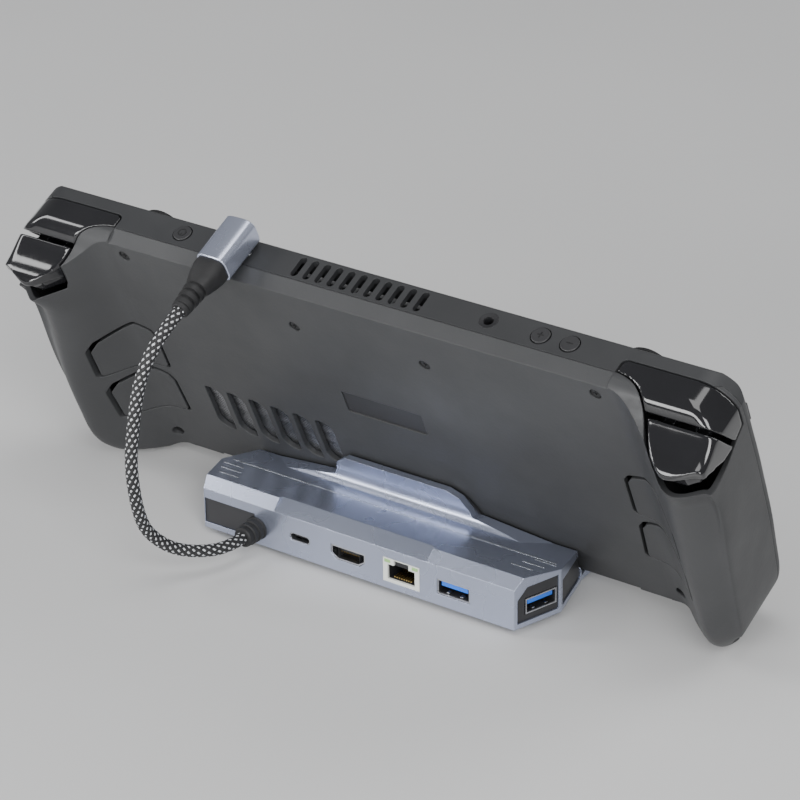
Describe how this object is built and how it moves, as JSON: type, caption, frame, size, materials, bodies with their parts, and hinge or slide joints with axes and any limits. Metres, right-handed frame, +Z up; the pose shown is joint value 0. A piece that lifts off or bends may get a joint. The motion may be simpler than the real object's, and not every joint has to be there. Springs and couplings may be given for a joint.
{
  "type": "handheld game console in a docking station",
  "caption": "Handheld game console with thumbsticks, triggers and back buttons, leaning in a metal port dock that a short cable links to its top edge.",
  "frame": {"origin": "middle of the footprint box (without the cable), on the surface the dock's feet stand on", "axes": "+Z up, +X along the console's length, the screen faces -Y and the ports face +Y"},
  "size_m": [0.2994, 0.1226, 0.1301],
  "materials": {
    "front_plastic": "fine satin",
    "cover_plastic": "fine texture",
    "gloss_black": "polished",
    "control_plastic": "satin",
    "stick_rubber": "soft matt",
    "screen_glass": "etched",
    "display_black": "dark panel",
    "dock_metal": "anodised satin",
    "plug_metal": "anodised satin",
    "dock_dark": "satin",
    "soft_black": "matt",
    "port_metal": "satin",
    "port_black": "satin",
    "port_white": "satin",
    "cord_braid": "braided, with a light fleck",
    "board_green": "satin",
    "inner_metal": "mill",
    "dark_metal": "satin black"
  },
  "bodies": {
    "dock": {"dock_shell": "dock_metal", "dock_end_panels": "dock_dark", "dock_bottom_plate": "dock_dark", "dock_feet": "soft_black", "cradle_lining": "soft_black", "dock_board": "board_green", "dock_hdmi_port": "port_metal", "dock_ethernet_port": "port_white", "dock_usb_a_ports": "port_metal", "dock_usb_c_port": "port_metal", "cable_gland": "soft_black", "dock_cable": "cord_braid"},
    "console": {"front_shell": "front_plastic", "rear_cover": "cover_plastic", "trigger_pins": "port_metal", "screen_glass": "screen_glass", "display_panel": "display_black", "inner_frame": "inner_metal", "mainboard": "board_green", "battery": "port_black", "speakers": "port_black", "fan_housing": "port_black", "heat_sink": "inner_metal", "intake_mesh": "dark_metal", "badge_plate": "control_plastic", "rear_screws": "dark_metal", "usb_c_receptacle": "port_metal", "headphone_jack": "port_black", "trackpad_left": "control_plastic", "trackpad_right": "control_plastic", "stick_housings": "port_metal"},
    "plug": {"plug_shell": "plug_metal", "plug_tip": "port_metal", "plug_boot": "soft_black"},
    "fan_rotor": {"fan_rotor": "control_plastic"},
    "bumper_right": {"bumper_right": "gloss_black"},
    "bumper_left": {"bumper_left": "gloss_black"},
    "trigger_right": {"trigger_right": "gloss_black"},
    "trigger_left": {"trigger_left": "gloss_black"},
    "back_button_upper_right": {"back_button_upper_right": "cover_plastic"},
    "back_button_upper_left": {"back_button_upper_left": "cover_plastic"},
    "back_button_lower_right": {"back_button_lower_right": "cover_plastic"},
    "back_button_lower_left": {"back_button_lower_left": "cover_plastic"},
    "button_a": {"button_a": "control_plastic"},
    "button_b": {"button_b": "control_plastic"},
    "button_x": {"button_x": "control_plastic"},
    "button_y": {"button_y": "control_plastic"},
    "view_button": {"view_button": "control_plastic"},
    "menu_button": {"menu_button": "control_plastic"},
    "home_button": {"home_button": "control_plastic"},
    "quick_button": {"quick_button": "control_plastic"},
    "dpad": {"dpad": "control_plastic"},
    "dpad_pivot": {"dpad_pivot": "port_metal"},
    "stick_cap_left": {"stick_cap_left": "stick_rubber"},
    "stick_cap_right": {"stick_cap_right": "stick_rubber"},
    "stick_gimbal_left": {"stick_gimbal_left": "port_metal"},
    "stick_gimbal_right": {"stick_gimbal_right": "port_metal"},
    "power_button": {"power_button": "control_plastic"},
    "volume_up": {"volume_up": "control_plastic"},
    "volume_down": {"volume_down": "control_plastic"}
  },
  "joints": [
    {"name": "console_lift", "type": "slide", "parent": "dock", "child": "console", "axis": [0, 0.409, 0.9125], "range_m": [0, 0.032]},
    {"name": "plug_pull", "type": "slide", "parent": "dock", "child": "plug", "axis": [0, 0.409, 0.9125], "range_m": [0, 0.0416]},
    {"name": "bumper_right_press", "type": "hinge", "parent": "console", "child": "bumper_right", "pos_m": [0.1075, 0.02213, 0.1106], "axis": [0, 0.9125, -0.409], "range_deg": [0, 0.5], "stiffness_Nm_per_rad": 1.2, "springref_deg": -0.52},
    {"name": "trigger_right_pull", "type": "hinge", "parent": "console", "child": "trigger_right", "pos_m": [0.135, 0.01936, 0.10198], "axis": [-1, 0, 0], "range_deg": [0, 12], "stiffness_Nm_per_rad": 0.08, "springref_deg": -8.59},
    {"name": "back_button_upper_right_press", "type": "hinge", "parent": "console", "child": "back_button_upper_right", "pos_m": [0.114, 0.00281, 0.04671], "axis": [1, 0, 0], "range_deg": [0, 1.5], "stiffness_Nm_per_rad": 0.3, "springref_deg": -1.72},
    {"name": "back_button_lower_right_press", "type": "hinge", "parent": "console", "child": "back_button_lower_right", "pos_m": [0.114, -0.00655, 0.02461], "axis": [1, 0, 0], "range_deg": [0, 1.5], "stiffness_Nm_per_rad": 0.3, "springref_deg": -1.72},
    {"name": "stick_right_up_down", "type": "hinge", "parent": "console", "child": "stick_gimbal_right", "pos_m": [0.105, 0.01045, 0.09775], "axis": [1, 0, 0], "range_deg": [-22, 22], "stiffness_Nm_per_rad": 0.03},
    {"name": "stick_right_sideways", "type": "hinge", "parent": "stick_gimbal_right", "child": "stick_cap_right", "pos_m": [0.105, 0.01045, 0.09775], "axis": [0, 0.409, 0.9125], "range_deg": [-22, 22], "stiffness_Nm_per_rad": 0.03},
    {"name": "bumper_left_press", "type": "hinge", "parent": "console", "child": "bumper_left", "pos_m": [-0.1075, 0.02213, 0.1106], "axis": [0, -0.9125, 0.409], "range_deg": [0, 0.5], "stiffness_Nm_per_rad": 1.2, "springref_deg": -0.52},
    {"name": "trigger_left_pull", "type": "hinge", "parent": "console", "child": "trigger_left", "pos_m": [-0.135, 0.01936, 0.10198], "axis": [-1, 0, 0], "range_deg": [0, 12], "stiffness_Nm_per_rad": 0.08, "springref_deg": -8.59},
    {"name": "back_button_upper_left_press", "type": "hinge", "parent": "console", "child": "back_button_upper_left", "pos_m": [-0.114, 0.00281, 0.04671], "axis": [1, 0, 0], "range_deg": [0, 1.5], "stiffness_Nm_per_rad": 0.3, "springref_deg": -1.72},
    {"name": "back_button_lower_left_press", "type": "hinge", "parent": "console", "child": "back_button_lower_left", "pos_m": [-0.114, -0.00655, 0.02461], "axis": [1, 0, 0], "range_deg": [0, 1.5], "stiffness_Nm_per_rad": 0.3, "springref_deg": -1.72},
    {"name": "stick_left_up_down", "type": "hinge", "parent": "console", "child": "stick_gimbal_left", "pos_m": [-0.105, 0.01045, 0.09775], "axis": [1, 0, 0], "range_deg": [-22, 22], "stiffness_Nm_per_rad": 0.03},
    {"name": "stick_left_sideways", "type": "hinge", "parent": "stick_gimbal_left", "child": "stick_cap_left", "pos_m": [-0.105, 0.01045, 0.09775], "axis": [0, 0.409, 0.9125], "range_deg": [-22, 22], "stiffness_Nm_per_rad": 0.03},
    {"name": "dpad_up_down", "type": "hinge", "parent": "console", "child": "dpad_pivot", "pos_m": [-0.133, 0.00724, 0.09645], "axis": [1, 0, 0], "range_deg": [-4, 4], "stiffness_Nm_per_rad": 0.15},
    {"name": "dpad_sideways", "type": "hinge", "parent": "dpad_pivot", "child": "dpad", "pos_m": [-0.133, 0.00724, 0.09645], "axis": [0, 0.409, 0.9125], "range_deg": [-4, 4], "stiffness_Nm_per_rad": 0.15},
    {"name": "button_a_press", "type": "slide", "parent": "console", "child": "button_a", "axis": [0, 0.9125, -0.409], "range_m": [0, 0.0012], "stiffness_N_per_m": 250, "springref_m": -0.001},
    {"name": "button_b_press", "type": "slide", "parent": "console", "child": "button_b", "axis": [0, 0.9125, -0.409], "range_m": [0, 0.0012], "stiffness_N_per_m": 250, "springref_m": -0.001},
    {"name": "button_x_press", "type": "slide", "parent": "console", "child": "button_x", "axis": [0, 0.9125, -0.409], "range_m": [0, 0.0012], "stiffness_N_per_m": 250, "springref_m": -0.001},
    {"name": "button_y_press", "type": "slide", "parent": "console", "child": "button_y", "axis": [0, 0.9125, -0.409], "range_m": [0, 0.0012], "stiffness_N_per_m": 250, "springref_m": -0.001},
    {"name": "view_button_press", "type": "slide", "parent": "console", "child": "view_button", "axis": [0, 0.9125, -0.409], "range_m": [0, 0.0007], "stiffness_N_per_m": 250, "springref_m": -0.001},
    {"name": "menu_button_press", "type": "slide", "parent": "console", "child": "menu_button", "axis": [0, 0.9125, -0.409], "range_m": [0, 0.0007], "stiffness_N_per_m": 250, "springref_m": -0.001},
    {"name": "home_button_press", "type": "slide", "parent": "console", "child": "home_button", "axis": [0, 0.9125, -0.409], "range_m": [0, 0.0007], "stiffness_N_per_m": 250, "springref_m": -0.001},
    {"name": "quick_button_press", "type": "slide", "parent": "console", "child": "quick_button", "axis": [0, 0.9125, -0.409], "range_m": [0, 0.0007], "stiffness_N_per_m": 250, "springref_m": -0.001},
    {"name": "power_button_press", "type": "slide", "parent": "console", "child": "power_button", "axis": [0, -0.409, -0.9125], "range_m": [0, 0.0005], "stiffness_N_per_m": 250, "springref_m": -0.001},
    {"name": "volume_up_press", "type": "slide", "parent": "console", "child": "volume_up", "axis": [0, -0.409, -0.9125], "range_m": [0, 0.0005], "stiffness_N_per_m": 250, "springref_m": -0.001},
    {"name": "volume_down_press", "type": "slide", "parent": "console", "child": "volume_down", "axis": [0, -0.409, -0.9125], "range_m": [0, 0.0005], "stiffness_N_per_m": 250, "springref_m": -0.001},
    {"name": "fan_spin", "type": "hinge", "parent": "console", "child": "fan_rotor", "pos_m": [0, 0.00335, 0.07409], "axis": [0, 0.9125, -0.409], "continuous": true}
  ],
  "couplings": [
    {"joint": "plug_pull", "follows": "console_lift", "ratio": 1.3}
  ]
}
